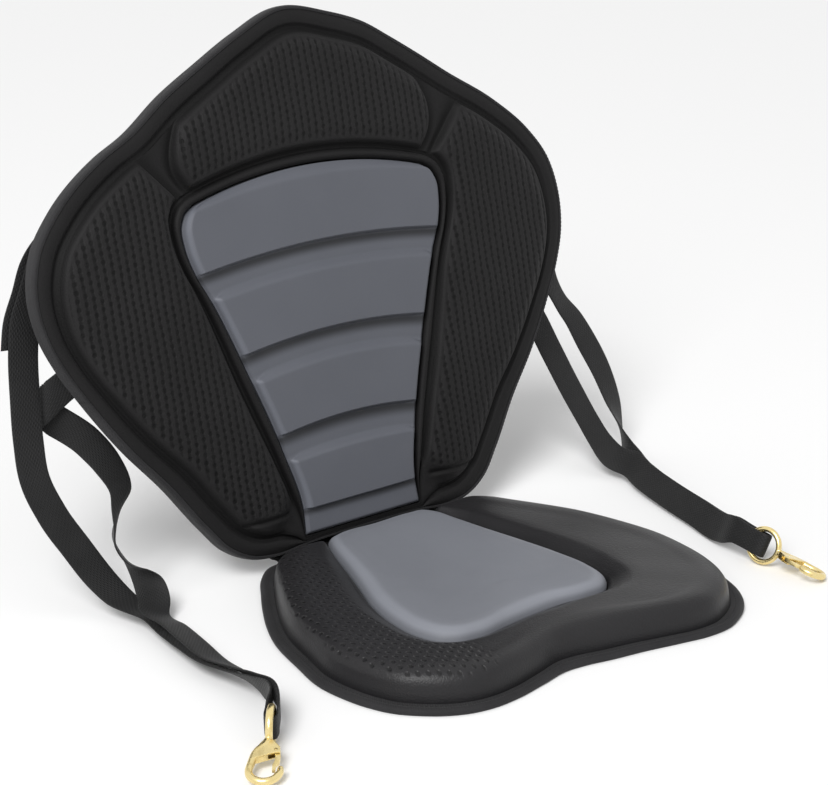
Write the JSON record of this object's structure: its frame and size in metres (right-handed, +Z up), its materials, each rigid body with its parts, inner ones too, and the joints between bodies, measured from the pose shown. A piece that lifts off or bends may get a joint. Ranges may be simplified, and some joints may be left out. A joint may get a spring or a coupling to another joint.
{
  "type": "kayak seat",
  "caption": "Moulded foam kayak seat: tall reclined back with bowed lumbar pads, flat contoured base, and webbing side straps that end in brass snap hooks.",
  "frame": {"origin": "on the floor plane, in the middle of the base's rear edge, under the hinge", "axes": "+X to the right seen from the front, +Y to the rear (the front of the base is at -Y), +Z up"},
  "size_m": [0.6182, 0.4173, 0.4347],
  "materials": {
    "black_foam": "matte fabric-faced moulded foam",
    "rear_fabric": "matte woven backing",
    "binding_tape": "matte edge tape",
    "grey_foam": "satin smooth-skinned foam",
    "seat_foam": "satin smooth-skinned foam",
    "webbing": "woven webbing",
    "brass": "polished"
  },
  "bodies": {
    "seat": {"back_binding": "binding_tape", "back_rear_cover": "rear_fabric", "back_shell": "black_foam", "base_binding": "binding_tape", "base_insert": "seat_foam", "base_shell": "black_foam", "base_underside": "rear_fabric", "hinge_strip": "rear_fabric", "left_anchor_webbing": "webbing", "left_gate_pin": "brass", "left_hook_body": "brass", "left_side_strap": "webbing", "lumbar_panel": "grey_foam", "right_anchor_webbing": "webbing", "right_gate_pin": "brass", "right_hook_body": "brass", "right_side_strap": "webbing"},
    "left_gate": {"left_gate": "brass"},
    "right_gate": {"right_gate": "brass"}
  },
  "joints": [
    {"name": "left_gate_hinge", "type": "hinge", "parent": "seat", "child": "left_gate", "pos_m": [-0.26455, -0.25772, 0.011], "axis": [0.1209, 0.1431, -0.9823], "range_deg": [0, 24], "stiffness_Nm_per_rad": 0.02},
    {"name": "right_gate_hinge", "type": "hinge", "parent": "seat", "child": "right_gate", "pos_m": [0.23493, -0.2553, 0.01301], "axis": [0.3654, -0.1204, 0.923], "range_deg": [0, 24], "stiffness_Nm_per_rad": 0.02}
  ]
}
